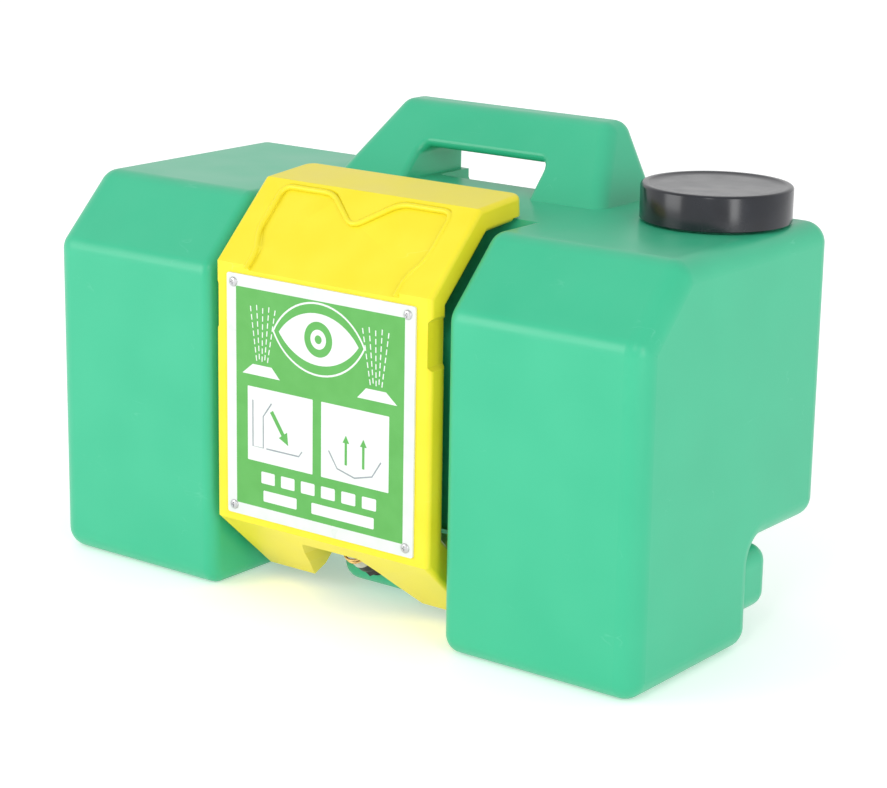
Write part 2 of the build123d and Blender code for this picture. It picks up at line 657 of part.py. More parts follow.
def make_nozzle_seal(side):
    """Flat ring between the cup's rim and the underside of the pocket's floor."""
    x = side * NOZZLE_X
    floor_under = CAVITY_OUTLINE[2][0]
    start = (x, NOZZLE_CUP_FRONT, NOZZLE_Z)
    end = (x, floor_under, NOZZLE_Z)
    return rod(start, end, NOZZLE_CUP_RADIUS) - rod(start, end, NOZZLE_CUP_BORE)


def make_nozzle_cap(side):
    """Soft disc that covers the nozzle, with one fine hole and a plug that fills the cup's mouth."""
    x = side * NOZZLE_X
    seat = POCKET_FLOOR - NOZZLE_SEAT
    disc = rod((x, seat, NOZZLE_Z), (x, POCKET_FLOOR + NOZZLE_CAP_PROUD, NOZZLE_Z), NOZZLE_CAP_RADIUS)
    disc = fillet(disc.edges().sort_by(Axis.Y)[-1], 1)
    plug_end = (x, NOZZLE_CUP_BACK + NOZZLE_CUP_WALL, NOZZLE_Z)
    disc += rod((x, seat, NOZZLE_Z), plug_end, NOZZLE_CUP_BORE)
    top = (x, POCKET_FLOOR + NOZZLE_CAP_PROUD + 1, NOZZLE_Z)
    return disc - rod(plug_end, top, NOZZLE_JET)


# ---- Sign plate ----

def make_sign_plate():
    outline = Pos(0, (SIGN_FOOT + SIGN_TOP) / 2) * RectangleRounded(
        2 * SIGN_HALF, SIGN_TOP - SIGN_FOOT, SIGN_CORNER
    )
    plate = front_prism(outline, SIGN_FRONT, TRAY_FRONT)
    for x, z in sign_corners():
        plate -= rod((x, SIGN_FRONT, z), (x, TRAY_FRONT, z), SCREW_RADIUS)
    return plate


def make_sign_screws():
    """Four small pan-head screws, one near each corner of the plate."""
    screws = []
    for x, z in sign_corners():
        face = (x, SIGN_FRONT, z)
        head = rod(face, (x, SIGN_FRONT - SCREW_HEAD, z), SCREW_HEAD_RADIUS)
        head = fillet(head.edges().sort_by(Axis.Y)[0], SCREW_HEAD * 0.6)
        screws.append(head + rod(face, (x, SIGN_FRONT + SCREW_LENGTH, z), SCREW_RADIUS))
    return Compound(screws)


save(make_tank(), "tank_shell")
save(make_cap(), "fill_cap")
save(make_cap_liner(), "cap_liner")
save(make_outlet_insert(), "outlet_insert")
save(make_outlet_gasket(), "outlet_gasket")
save(make_outlet_elbow(), "outlet_elbow")
save(make_hose(), "hose")
for name, side in SIDES.items():
    save(make_pin(side), f"hinge_pin_{name}")
    save(make_washer(side), f"hinge_washer_{name}")
    save(make_nozzle_body(side), f"nozzle_body_{name}")
    save(make_nozzle_seal(side), f"nozzle_seal_{name}")
    save(make_nozzle_cap(side), f"nozzle_cap_{name}")
save(make_tray(), "tray_arm")
save(make_manifold(), "manifold")
save(make_sign_plate(), "sign_plate")
save(make_sign_screws(), "sign_screws")
lower_clamp = Plane(origin=along_outlet(BARB_LENGTH - 8), x_dir=(0, 1, 1), z_dir=(0, -1, 1))
save(make_clamp(lower_clamp.location), "hose_clamp_lower")
save(make_clamp(Pos(0, HOSE_Y, HOSE_TOP - 6)), "hose_clamp_upper")
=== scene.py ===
from math import atan2, cos, pi, radians, sin, sqrt, tau

import bpy
from mathutils import Matrix, Vector


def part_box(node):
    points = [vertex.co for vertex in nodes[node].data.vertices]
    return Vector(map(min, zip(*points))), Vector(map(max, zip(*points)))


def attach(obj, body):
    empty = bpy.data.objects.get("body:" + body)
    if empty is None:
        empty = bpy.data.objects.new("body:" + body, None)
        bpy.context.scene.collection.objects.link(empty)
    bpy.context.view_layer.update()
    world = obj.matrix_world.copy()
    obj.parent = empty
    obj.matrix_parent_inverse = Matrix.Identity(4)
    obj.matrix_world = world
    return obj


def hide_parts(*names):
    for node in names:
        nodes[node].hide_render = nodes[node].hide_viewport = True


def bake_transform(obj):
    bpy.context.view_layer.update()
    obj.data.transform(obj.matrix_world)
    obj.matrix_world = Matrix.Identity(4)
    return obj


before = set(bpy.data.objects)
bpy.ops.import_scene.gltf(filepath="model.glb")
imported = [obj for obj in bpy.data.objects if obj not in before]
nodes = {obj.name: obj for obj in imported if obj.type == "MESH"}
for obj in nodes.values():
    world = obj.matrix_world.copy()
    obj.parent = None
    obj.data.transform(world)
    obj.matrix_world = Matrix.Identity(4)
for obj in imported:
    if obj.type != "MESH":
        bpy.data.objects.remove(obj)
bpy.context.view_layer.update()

# ---- Camera ----
# A long lens a little above the tank's shoulders, turned towards the filler cap's end, so that the
# tray, one whole lobe and the end face all show.
VIEW_TARGET = Vector((0, 0.0105, 0.150))
VIEW_AZIMUTH = radians(37.04)
VIEW_ELEVATION = radians(15.0)
VIEW_ROLL = radians(0.95)
VIEW_DISTANCE = 1.882
VIEW_ASIDE = 0.0079
VIEW_DROP = 0.0042
VIEW_LENS = 100.7

back = Vector((
    sin(VIEW_AZIMUTH) * cos(VIEW_ELEVATION),
    -cos(VIEW_AZIMUTH) * cos(VIEW_ELEVATION),
    sin(VIEW_ELEVATION),
))
camera_turn = back.to_track_quat("Z", "Y").to_matrix()
camera_data = bpy.data.cameras.new("camera")
camera_data.lens = VIEW_LENS
camera = bpy.data.objects.new("camera", camera_data)
bpy.context.scene.collection.objects.link(camera)
camera_place = VIEW_TARGET + back * VIEW_DISTANCE + camera_turn @ Vector((VIEW_ASIDE, -VIEW_DROP, 0))
camera_turn = camera_turn @ Matrix.Rotation(VIEW_ROLL, 3, "Z")
camera.matrix_world = Matrix.Translation(camera_place) @ camera_turn.to_4x4()
bpy.context.scene.camera = camera

# ---- Studio ----
# A pale backlit floor under even light that is strongest from the sides, with a wide soft box in front to
# the left, a narrower one to the right and a small one high between them, so that the rounded
# edges catch long soft highlights.
FLOOR_HALF = 8.0
FLOOR_GREY = 0.93
FLOOR_GLOW = 0.30
SIDE_LIGHT = 1.0
SIDE_LIGHT_UP_TO = 0.15
OVERHEAD_LIGHT_FROM = 0.9
OVERHEAD_LIGHT = 0.75
SOFT_BOXES = {
    # place, width, height, power
    "soft_box_left": ((-1.7, -2.5, 1.1), 1.6, 1.6, 26),
    "soft_box_right": ((2.4, -1.3, 0.9), 0.6, 1.6, 14),
    "soft_box_edge": ((0.9, -1.9, 1.5), 0.25, 0.9, 5),
}


def add_object(name, mesh):
    made = bpy.data.objects.new(name, mesh)
    bpy.context.scene.collection.objects.link(made)
    return made


def mesh_from(name, points, faces, sharp_above=35):
    """A smooth-shaded mesh, kept sharp at edges that turn by more than an angle in degrees."""
    mesh = bpy.data.meshes.new(name)
    mesh.from_pydata([tuple(p) for p in points], [], faces)
    mesh.polygons.foreach_set("use_smooth", [True] * len(mesh.polygons))
    mesh.update()
    mesh.set_sharp_from_angle(angle=radians(sharp_above))
    return mesh


def new_material(name, **values):
    """A material with one Principled shader; values are its sockets, with _ for each space."""
    material = bpy.data.materials.new(name)
    material.use_nodes = True
    shader = material.node_tree.nodes["Principled BSDF"]
    for socket, value in values.items():
        socket = socket.replace("_", " ")
        shader.inputs[socket].default_value = (*value, 1) if socket == "Base Color" else value
    return material


def soft_box(name, place, width, height, power):
    """A rectangular lamp that faces the tank."""
    lamp = bpy.data.lights.new(name, "AREA")
    lamp.shape = "RECTANGLE"
    lamp.size = width
    lamp.size_y = height
    lamp.energy = power
    made = add_object(name, lamp)
    facing = Vector(place) - VIEW_TARGET
    made.matrix_world = Matrix.Translation(place) @ facing.to_track_quat("Z", "Y").to_matrix().to_4x4()


for box_name, box_values in SOFT_BOXES.items():
    soft_box(box_name, *box_values)

world = bpy.data.worlds.new("room")
world.use_nodes = True
bpy.context.scene.world = world
sky = world.node_tree
direction = sky.nodes.new("ShaderNodeTexCoord")
height = sky.nodes.new("ShaderNodeSeparateXYZ")
brightness = sky.nodes.new("ShaderNodeMapRange")
brightness.inputs["From Min"].default_value = SIDE_LIGHT_UP_TO
brightness.inputs["From Max"].default_value = OVERHEAD_LIGHT_FROM
brightness.inputs["To Min"].default_value = SIDE_LIGHT
brightness.inputs["To Max"].default_value = OVERHEAD_LIGHT
sky.links.new(direction.outputs["Generated"], height.inputs[0])
sky.links.new(height.outputs["Z"], brightness.inputs["Value"])
sky.links.new(brightness.outputs["Result"], sky.nodes["Background"].inputs["Strength"])
sky.nodes["Background"].inputs["Color"].default_value = (1, 1, 1, 1)
bpy.context.scene.view_settings.view_transform = "Standard"

floor_corners = [(-1, -1), (1, -1), (1, 1), (-1, 1)]
floor_points = [(x * FLOOR_HALF, y * FLOOR_HALF, 0) for x, y in floor_corners]
floor = add_object("floor", mesh_from("floor", floor_points, [(0, 1, 2, 3)]))
floor_paint = new_material("floor_paint", Base_Color=(FLOOR_GREY, FLOOR_GREY, FLOOR_GREY), Roughness=0.8)
floor_shader = floor_paint.node_tree.nodes["Principled BSDF"]
floor_shader.inputs["Emission Color"].default_value = (1, 1, 1, 1)
floor_shader.inputs["Emission Strength"].default_value = FLOOR_GLOW
floor.data.materials.append(floor_paint)

# ---- Water tank ----
# One hollow blow-moulding in green polyethylene, with the handle, the trough under the grip and
# the recess behind the tray all formed by the mould.  Its satin skin has a fine orange peel, slow
# ripples where the wall has shrunk, faint hairline scuffs and a little dust on what faces up.
TANK_GREEN = (0.030, 0.44, 0.235)
TANK_PALE_GREEN = (0.038, 0.465, 0.252)
SCUFF_GREEN = (0.16, 0.58, 0.40)
DUST = (0.25, 0.58, 0.42)


def new_group(name, inputs, outputs):
    """An empty shader group with float inputs after its Vector, and its two end nodes."""
    tree = bpy.data.node_groups.new(name, "ShaderNodeTree")
    tree.interface.new_socket("Vector", in_out="INPUT", socket_type="NodeSocketVector")
    for socket, value in inputs.items():
        made = tree.interface.new_socket(socket, in_out="INPUT", socket_type="NodeSocketFloat")
        made.default_value = value
    for socket in outputs:
        tree.interface.new_socket(socket, in_out="OUTPUT", socket_type="NodeSocketFloat")
    return tree, tree.nodes.new("NodeGroupInput"), tree.nodes.new("NodeGroupOutput")


def maths(tree, operation, *values):
    """A Math node on sockets or plain numbers, clamped to 0..1 where the name ends in _CLAMPED."""
    node = tree.nodes.new("ShaderNodeMath")
    node.operation = operation.removesuffix("_CLAMPED")
    node.use_clamp = operation.endswith("_CLAMPED")
    for socket, value in zip(node.inputs, values):
        if isinstance(value, bpy.types.NodeSocket):
            tree.links.new(value, socket)
        else:
            socket.default_value = value
    return node.outputs[0]


def noise(tree, vector, size, detail=2.0, stretch=(1, 1, 1)):
    """Noise from 0 to 1 whose lumps are about size metres across."""
    scaled = tree.nodes.new("ShaderNodeVectorMath")
    scaled.operation = "MULTIPLY"
    tree.links.new(vector, scaled.inputs[0])
    scaled.inputs[1].default_value = stretch
    node = tree.nodes.new("ShaderNodeTexNoise")
    node.inputs["Detail"].default_value = detail
    tree.links.new(scaled.outputs[0], node.inputs["Vector"])
    tree.links.new(maths(tree, "DIVIDE", 1.0, size), node.inputs["Scale"])
    return node.outputs[0]


def make_moulded_skin():
    """Fine peel over slow ripples: a bump height in metres, and an uneven tone from 0 to 1."""
    inputs = {"Peel Size": 0.0015, "Peel Depth": 0.00002, "Ripple Size": 0.05, "Ripple Depth": 0.0002}
    tree, start, end = new_group("moulded_skin", inputs, ["Height", "Tone"])
    peel = noise(tree, start.outputs["Vector"], start.outputs["Peel Size"])
    ripple = noise(tree, start.outputs["Vector"], start.outputs["Ripple Size"], detail=1.0)
    peel_height = maths(tree, "MULTIPLY", peel, start.outputs["Peel Depth"])
    ripple_height = maths(tree, "MULTIPLY", ripple, start.outputs["Ripple Depth"])
    tree.links.new(maths(tree, "ADD", peel_height, ripple_height), end.inputs["Height"])
    slow = maths(tree, "MULTIPLY_ADD_CLAMPED", ripple, 2.4, -0.7)
    slow_share = maths(tree, "MULTIPLY", slow, 0.8)
    tree.links.new(maths(tree, "MULTIPLY_ADD", peel, 0.2, slow_share), end.inputs["Tone"])
    return tree


def make_hairline_scuffs():
    """Thin scattered scratches, as a mask."""
    tree, start, end = new_group("hairline_scuffs", {"Size": 0.05, "Amount": 0.5}, ["Mask"])
    lines = []
    for stretch in ((1, 0.25, 1), (0.3, 1, 1)):
        waves = noise(tree, start.outputs["Vector"], start.outputs["Size"], 4.0, stretch)
        off_line = maths(tree, "ABSOLUTE", maths(tree, "SUBTRACT", waves, 0.5))
        lines.append(maths(tree, "MULTIPLY_ADD_CLAMPED", off_line, -260.0, 1.0))
    drawn = maths(tree, "MAXIMUM", *lines)
    patches = noise(tree, start.outputs["Vector"], start.outputs["Size"], 3.0, (1.7, 1.7, 1.7))
    sparse = maths(tree, "MULTIPLY_ADD_CLAMPED", patches, 9.0, -5.4)
    shown = maths(tree, "MULTIPLY", maths(tree, "MULTIPLY", drawn, sparse), start.outputs["Amount"])
    tree.links.new(shown, end.inputs["Mask"])
    return tree


def make_settled_dust():
    """Dust on what faces up at rest, as a mask."""
    tree, start, end = new_group("settled_dust", {"Size": 0.03, "Amount": 0.3}, ["Mask"])
    coordinates = tree.nodes.new("ShaderNodeTexCoord")
    facing = tree.nodes.new("ShaderNodeSeparateXYZ")
    tree.links.new(coordinates.outputs["Normal"], facing.inputs[0])
    upward = maths(tree, "MULTIPLY_ADD_CLAMPED", facing.outputs["Z"], 2.5, -1.4)
    patches = noise(tree, start.outputs["Vector"], start.outputs["Size"], 6.0)
    spread = maths(tree, "MULTIPLY_ADD_CLAMPED", patches, 2.6, -0.7)
    shown = maths(tree, "MULTIPLY", maths(tree, "MULTIPLY", upward, spread), start.outputs["Amount"])
    tree.links.new(shown, end.inputs["Mask"])
    return tree


def make_edge_rub():
    """Where corners are rubbed, as a mask: the surface's own slope against one rounded off."""
    tree, start, end = new_group("edge_rub", {"Size": 0.02, "Amount": 0.5}, ["Mask"])
    rounded = tree.nodes.new("ShaderNodeBevel")
    rounded.samples = 6
    rounded.inputs["Radius"].default_value = 0.0016
    surface = tree.nodes.new("ShaderNodeNewGeometry")
    likeness = tree.nodes.new("ShaderNodeVectorMath")
    likeness.operation = "DOT_PRODUCT"
    tree.links.new(rounded.outputs["Normal"], likeness.inputs[0])
    tree.links.new(surface.outputs["Normal"], likeness.inputs[1])
    edge = maths(tree, "MULTIPLY_ADD_CLAMPED", likeness.outputs["Value"], -7.0, 6.8)
    patches = noise(tree, start.outputs["Vector"], start.outputs["Size"], 5.0)
    broken = maths(tree, "MULTIPLY_ADD_CLAMPED", patches, 3.0, -1.0)
    shown = maths(tree, "MULTIPLY", maths(tree, "MULTIPLY", edge, broken), start.outputs["Amount"])
    tree.links.new(shown, end.inputs["Mask"])
    return tree


MOULDED_SKIN = make_moulded_skin()
HAIRLINE_SCUFFS = make_hairline_scuffs()
SETTLED_DUST = make_settled_dust()
EDGE_RUB = make_edge_rub()


def place_group(material, group, vector, **values):
    tree = material.node_tree
    node = tree.nodes.new("ShaderNodeGroup")
    node.node_tree = group
    tree.links.new(vector, node.inputs["Vector"])
    for socket, value in values.items():
        node.inputs[socket.replace("_", " ")].default_value = value
    return node.outputs


def blend_colour(tree, mask, first, second):
    """Goes from the first colour to the second as the mask goes from 0 to 1."""
    node = tree.nodes.new("ShaderNodeMix")
    node.data_type = "RGBA"
    tree.links.new(mask, node.inputs["Factor"])
    for socket, value in ((node.inputs["A"], first), (node.inputs["B"], second)):
        if isinstance(value, bpy.types.NodeSocket):
            tree.links.new(value, socket)
        else:
            socket.default_value = (*value, 1)
    return node.outputs["Result"]


def blend_number(tree, mask, low, high):
    return maths(tree, "MULTIPLY_ADD", mask, high - low, low)


def moulded_plastic(name, colour, pale, scuff, dust, skin, scuffs, dusting, rub, roughness, **shader_values):
    """Satin plastic with an uneven tone, rubbed corners, hairline scuffs and dust."""
    material = new_material(name, **shader_values)
    tree = material.node_tree
    shader = tree.nodes["Principled BSDF"]
    vector = tree.nodes.new("ShaderNodeTexCoord").outputs["Object"]
    surface = place_group(material, MOULDED_SKIN, vector, **skin)
    scuffed = place_group(material, HAIRLINE_SCUFFS, vector, Amount=scuffs)["Mask"]
    dusty = place_group(material, SETTLED_DUST, vector, Amount=dusting)["Mask"]
    rubbed = place_group(material, EDGE_RUB, vector, Amount=rub)["Mask"]
    toned = blend_colour(tree, surface["Tone"], colour, pale)
    worn = blend_colour(tree, maths(tree, "MAXIMUM", scuffed, rubbed), toned, scuff)
    tree.links.new(blend_colour(tree, dusty, worn, dust), shader.inputs["Base Color"])
    low, high = roughness
    smoothness = blend_number(tree, surface["Tone"], low, high)
    marks = maths(tree, "ADD", maths(tree, "MULTIPLY", dusty, 0.4), maths(tree, "MULTIPLY", scuffed, 0.2))
    tree.links.new(maths(tree, "ADD_CLAMPED", smoothness, marks), shader.inputs["Roughness"])
    bump = tree.nodes.new("ShaderNodeBump")
    tree.links.new(surface["Height"], bump.inputs["Height"])
    bump.inputs["Distance"].default_value = 1.0
    tree.links.new(bump.outputs["Normal"], shader.inputs["Normal"])
    return material


def paint(material, *names):
    """Gives CAD pieces their finish."""
    for name in names:
        nodes[name].data.materials.clear()
        nodes[name].data.materials.append(material)


tank_plastic = moulded_plastic(
    "tank_polyethylene", TANK_GREEN, TANK_PALE_GREEN, SCUFF_GREEN, DUST,
    skin={"Peel_Size": 0.0016, "Peel_Depth": 0.000012, "Ripple_Size": 0.055, "Ripple_Depth": 0.00035},
    scuffs=0.3, dusting=0.08, rub=0.25, roughness=(0.28, 0.36), Specular_IOR_Level=0.45,
)
paint(tank_plastic, "tank_shell")

# ---- Neck thread ----
# Two turns of a rounded thread that the mould leaves round the filler neck.
CAP_LOW, CAP_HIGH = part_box("fill_cap")
CAP_CENTRE = (CAP_LOW + CAP_HIGH) / 2
NECK_RADIUS = 0.047
CAP_BORE = 0.050
THREAD_PITCH = 0.006
THREAD_TURNS = 2
THREAD_HEIGHT = 0.0022
THREAD_WIDTH = 0.0026
THREAD_STEPS = 96


def thread_ridge(name, root, height, foot):
    """A right-handed thread; a negative height stands inwards, as inside a cap."""
    points, faces = [], []
    steps = THREAD_STEPS * THREAD_TURNS
    for step in range(steps + 1):
        turn = tau * step / THREAD_STEPS
        ends = min(1.0, 12 * step / steps, 12 * (steps - step) / steps)
        z = foot + THREAD_PITCH * turn / tau
        bite = -0.0004 if height > 0 else 0.0004
        for radius, side in ((bite, -1.0), (height * ends, -0.35), (height * ends, 0.35), (bite, 1.0)):
            reach = root + radius
            x, y = CAP_CENTRE.x + reach * cos(turn), CAP_CENTRE.y + reach * sin(turn)
            points.append((x, y, z + side * THREAD_WIDTH / 2))
    for step in range(steps):
        for side in range(4):
            a, b = 4 * step + side, 4 * step + (side + 1) % 4
            face = (a, a + 4, b + 4, b)
            faces.append(face if height > 0 else face[::-1])
    faces += [(0, 1, 2, 3), tuple(4 * steps + k for k in (3, 2, 1, 0))]
    return add_object(name, mesh_from(name, points, faces, 50))


neck_thread = thread_ridge("neck_thread", NECK_RADIUS, THREAD_HEIGHT, CAP_LOW.z + 0.0025)
neck_thread.data.materials.append(tank_plastic)
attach(neck_thread, "tank")

# ---- Filler cap ----
# A glossy black injection-moulded screw cap: a slightly dished lid inside a raised rim, a plain
# skirt, a thread inside it that matches the neck's, and a white foam disc that makes the seal.
CAP_SIDES = 128


def lathe(name, profile, centre, axis, sides=CAP_SIDES, sharp_above=35):
    """Turns a profile of (radius, distance along the axis) about an axis; radius 0 closes an end."""
    turn = Vector(axis).to_track_quat("Z", "Y").to_matrix()
    points, rings, faces = [], [], []
    for radius, along in profile:
        count = 1 if radius == 0 else sides
        rings.append(range(len(points), len(points) + count))
        for side in range(count):
            angle = tau * side / sides
            local = Vector((radius * cos(angle), radius * sin(angle), along))
            points.append(Vector(centre) + turn @ local)
    for low, high in zip(rings, rings[1:]):
        for side in range(sides):
            corners = [low[side % len(low)], low[(side + 1) % len(low)]]
            corners += [high[(side + 1) % len(high)], high[side % len(high)]]
            face = tuple(dict.fromkeys(corners))
            if len(face) > 2:
                faces.append(face)
    return add_object(name, mesh_from(name, points, faces, sharp_above))


cap_radius = (CAP_HIGH.x - CAP_LOW.x) / 2
cap_top = CAP_HIGH.z - CAP_CENTRE.z
cap_foot = CAP_LOW.z - CAP_CENTRE.z
CAP_PROFILE = [
    (0, cap_foot + 0.0222), (CAP_BORE, cap_foot + 0.0222), (CAP_BORE, cap_foot + 0.0008),
    (CAP_BORE + 0.0008, cap_foot), (cap_radius - 0.0008, cap_foot), (cap_radius, cap_foot + 0.0008),
    (cap_radius, cap_top - 0.0018), (cap_radius - 0.0004, cap_top - 0.0009),
    (cap_radius - 0.0013, cap_top - 0.0002), (cap_radius - 0.0024, cap_top), (cap_radius - 0.0046, cap_top),
    (cap_radius - 0.0056, cap_top - 0.0003), (cap_radius - 0.0066, cap_top - 0.0008),
    (cap_radius - 0.014, cap_top - 0.0011), (0, cap_top - 0.0012),
]
cap_gloss = moulded_plastic(
    "cap_black", (0.007, 0.008, 0.012), (0.012, 0.014, 0.021), (0.10, 0.10, 0.11), (0.16, 0.16, 0.17),
    skin={"Peel_Size": 0.002, "Peel_Depth": 0.000004, "Ripple_Size": 0.02, "Ripple_Depth": 0.00002},
    scuffs=0.3, dusting=0.12, rub=0.4, roughness=(0.16, 0.24),
)
cap_shell = lathe("cap_shell", CAP_PROFILE, CAP_CENTRE, (0, 0, 1))
cap_shell.data.materials.append(cap_gloss)
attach(cap_shell, "cap")
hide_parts("fill_cap")
cap_thread = thread_ridge("cap_thread", CAP_BORE, -THREAD_HEIGHT, CAP_LOW.z + 0.0025 + THREAD_PITCH / 2)
cap_thread.data.materials.append(cap_gloss)
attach(cap_thread, "cap")


def plain_finish(name, colour, pale, roughness, peel=0.000006, **shader_values):
    """A finish for small pieces: an uneven tone and a fine bump, with no scuffs or dust."""
    return moulded_plastic(
        name, colour, pale, pale, pale,
        skin={"Peel_Size": 0.0009, "Peel_Depth": peel, "Ripple_Size": 0.012, "Ripple_Depth": peel},
        scuffs=0.1, dusting=0.0, rub=0.4, roughness=roughness, **shader_values,
    )


liner_foam = plain_finish("liner_foam", (0.74, 0.74, 0.70), (0.84, 0.84, 0.81), (0.65, 0.8), peel=0.00003)
paint(liner_foam, "cap_liner")

# ---- Outlet ----
# A brass bush moulded into the sump's wall, and a black nylon elbow screwed into it against a
# rubber gasket.  The elbow's barb points 45 degrees up towards the hinge.
brass = plain_finish("turned_brass", (0.72, 0.50, 0.20), (0.80, 0.60, 0.30), (0.22, 0.34), Metallic=1.0)
paint(brass, "outlet_insert")
seal_rubber = plain_finish("seal_rubber", (0.012, 0.012, 0.012), (0.03, 0.03, 0.03), (0.5, 0.65))
paint(seal_rubber, "outlet_gasket", "nozzle_seal_left", "nozzle_seal_right")
fitting_nylon = plain_finish("fitting_nylon", (0.010, 0.010, 0.012), (0.03, 0.03, 0.033), (0.35, 0.5))
paint(fitting_nylon, "outlet_elbow")

# ---- Hinge pins and washers ----
# Stainless stubs pressed into bosses inside the lobes, with a natural acetal washer on each.
steel = plain_finish("stainless_steel", (0.56, 0.56, 0.57), (0.68, 0.68, 0.69), (0.24, 0.38), Metallic=1.0)
paint(steel, "hinge_pin_left", "hinge_pin_right")
acetal = plain_finish("washer_acetal", (0.74, 0.74, 0.70), (0.82, 0.82, 0.79), (0.35, 0.45))
paint(acetal, "hinge_washer_left", "hinge_washer_right")

# ---- Tray ----
# A double-walled blow-moulding in yellow plastic with soft corners, glossier than the tank, with
# the goggle-shaped pocket inside and its relief outside.
tray_plastic = moulded_plastic(
    "tray_yellow", (0.80, 0.68, 0.020), (0.83, 0.715, 0.032), (0.95, 0.86, 0.20), (0.80, 0.72, 0.20),
    skin={"Peel_Size": 0.0014, "Peel_Depth": 0.000008, "Ripple_Size": 0.03, "Ripple_Depth": 0.00012},
    scuffs=0.25, dusting=0.02, rub=0.2, roughness=(0.30, 0.38), Specular_IOR_Level=0.32,
)
paint(tray_plastic, "tray_arm")


def soften(node, radius):
    """Rounds the edges that the mould leaves soft."""
    weld = nodes[node].modifiers.new("weld", "WELD")
    weld.merge_threshold = 0.00001
    rounding = nodes[node].modifiers.new("soft_edges", "BEVEL")
    rounding.width = radius
    rounding.segments = 4
    rounding.limit_method = "ANGLE"
    rounding.angle_limit = radians(20)
    rounding.harden_normals = True


soften("tray_arm", 0.0022)

# ---- Rim of the relief ----
# A rounded bead that the mould leaves along the edge of the goggle-shaped relief, from one corner
# of the sign's top edge, over the V for the nose, to the other.
TRAY_LOW, TRAY_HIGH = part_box("tray_arm")
SLOPE_FOOT = Vector((0, TRAY_LOW.y, 0.257))
SLOPE_TOP = Vector((0, TRAY_LOW.y + 0.0555, 0.3115))
BEAD_RADIUS = 0.0021
BEAD_SUNK = 0.0012
BEAD_ROUNDING = 0.009
BEAD_HALF = [
    (0.0688, 0.2555), (0.0688, 0.2675), (0.0778, 0.2785), (0.0778, 0.3078), (0.031, 0.3078), (0, 0.2900)
]


def tube(name, path, radius, bore=0.0, sides=16):
    """A round tube along a path of points; with a bore it is a pipe, without one a closed wire."""
    steps = [(b - a).normalized() for a, b in zip(path, path[1:])]
    between = [(a + b).normalized() for a, b in zip(steps, steps[1:])]
    tangents = [steps[0], *between, steps[-1]]
    across = tangents[0].orthogonal().normalized()
    frames = []
    for tangent in tangents:
        across = (across - tangent * across.dot(tangent)).normalized()
        frames.append((across, tangent.cross(across)))
    points, faces = [], []
    for size in [radius, bore] if bore else [radius]:
        for place, (u, v) in zip(path, frames):
            points += [
                place + (u * cos(tau * k / sides) + v * sin(tau * k / sides)) * size for k in range(sides)
            ]
    rings = len(path)
    for ring in range(rings - 1):
        for k in range(sides):
            a, b = ring * sides + k, ring * sides + (k + 1) % sides
            faces.append((a, b, b + sides, a + sides))
            if bore:
                inner = rings * sides
                faces.append((a + inner, a + sides + inner, b + sides + inner, b + inner))
    last = (rings - 1) * sides
    if bore:
        for k in range(sides):
            a, b = k, (k + 1) % sides
            faces.append((a + rings * sides, b + rings * sides, b, a))
            faces.append((last + a, last + b, last + b + rings * sides, last + a + rings * sides))
    else:
        faces += [tuple(range(sides))[::-1], tuple(last + k for k in range(sides))]
    return add_object(name, mesh_from(name, points, faces, 60))


def rounded_line(points, reach, steps=6):
    """A line with its corners rounded, each beginning and ending reach away at most."""
    line = [points[0]]
    for before, corner, after in zip(points, points[1:], points[2:]):
        start = corner + (before - corner) * min(0.48, reach / (before - corner).length)
        end = corner + (after - corner) * min(0.48, reach / (after - corner).length)
        for k in range(steps + 1):
            t = k / steps
            line.append(start * (1 - t) ** 2 + corner * 2 * t * (1 - t) + end * t ** 2)
    return line + [points[-1]]


def on_slope(x, z):
    """Centre of the bead where the tray's outer slope is at a height."""
    share = (z - SLOPE_FOOT.z) / (SLOPE_TOP.z - SLOPE_FOOT.z)
    rise = (SLOPE_TOP - SLOPE_FOOT).normalized()
    inward = Vector((0, rise.z, -rise.y))
    return Vector((x, 0, 0)) + SLOPE_FOOT.lerp(SLOPE_TOP, share) + inward * BEAD_SUNK


bead_corners = [on_slope(x, z) for x, z in BEAD_HALF]
bead_corners += [on_slope(-x, z) for x, z in BEAD_HALF[-2::-1]]
relief_bead = tube("relief_bead", rounded_line(bead_corners, BEAD_ROUNDING), BEAD_RADIUS)
relief_bead.data.materials.append(tray_plastic)
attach(relief_bead, "tray")

# ---- Manifold and nozzle cups ----
# Amber moulded pieces sealed between the tray's two walls; only the stem shows, inside the hose.
amber = plain_finish("manifold_amber", (0.62, 0.40, 0.10), (0.72, 0.50, 0.16), (0.3, 0.4))
paint(amber, "manifold", "nozzle_body_left", "nozzle_body_right")

# ---- Nozzle discs ----
# Soft orange discs pressed into the pocket's floor.  Each is slightly domed inside a low rim, with
# a small V-shaped slit in the middle that opens when water flows; the slit is not cut but drawn as a
# thin dark brown wire on the face, painted shade standing for the dark gap of the cut.
NOZZLE_SIDES = 72
DISC_ORANGE = (0.93, 0.36, 0.025)
# Painted shade: the slit's dark brown stands for the shade inside the cut, not for a colour of the rubber.
SLIT_SHADE_BROWN = (0.20, 0.045, 0.008)
SLIT_WIRE = 0.00028
disc_rubber = plain_finish("nozzle_orange", DISC_ORANGE, (0.98, 0.44, 0.05), (0.42, 0.55), peel=0.00001)
slit_shade_finish = plain_finish("nozzle_slit_shade", SLIT_SHADE_BROWN, (0.32, 0.08, 0.015), (0.5, 0.6))


